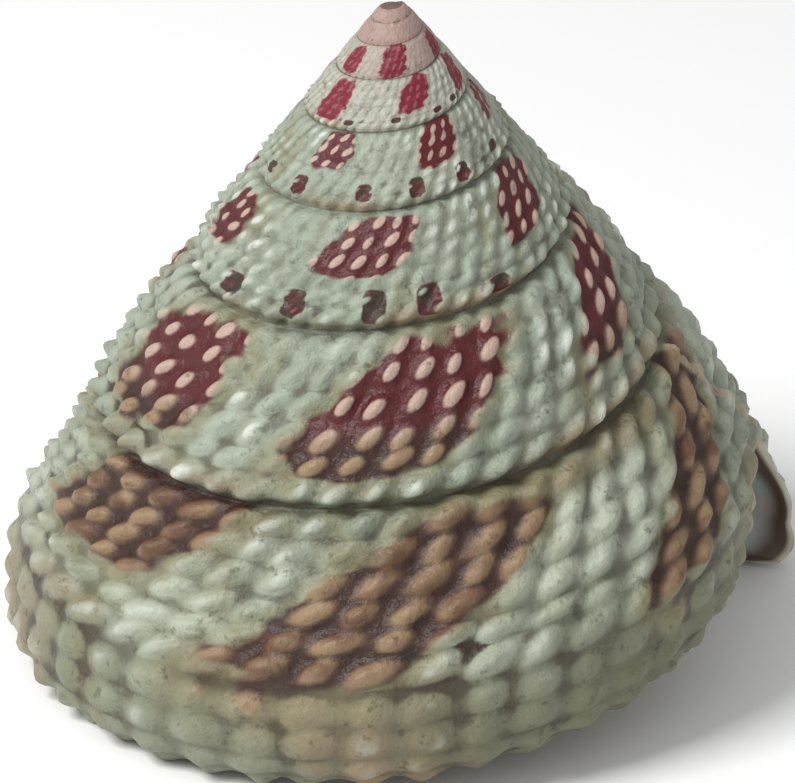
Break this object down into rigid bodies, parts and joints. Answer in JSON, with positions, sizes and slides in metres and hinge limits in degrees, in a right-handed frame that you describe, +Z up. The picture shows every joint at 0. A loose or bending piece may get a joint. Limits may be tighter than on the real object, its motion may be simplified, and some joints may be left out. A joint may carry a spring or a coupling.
{
  "type": "radiate top shell",
  "caption": "Cone-shaped top shell with rows of beads along its whorls, a rounded edge, a flat base and a slanted mouth.",
  "frame": {"origin": "centre of the shell's box at the height of its base, where it stands on its base with the tip up", "axes": "+Z up, from the base towards the tip; the coil turns clockwise seen from +Z, and the mouth opens at the +X side and below; -Y is the side that shows most of the coloured flames"},
  "size_m": [0.038, 0.0382, 0.0328],
  "materials": {
    "shell": "satin, pale greenish grey lime shell with crimson and brown flames and a pearly mouth"
  },
  "bodies": {
    "root": {"shell": "shell"}
  },
  "joints": []
}
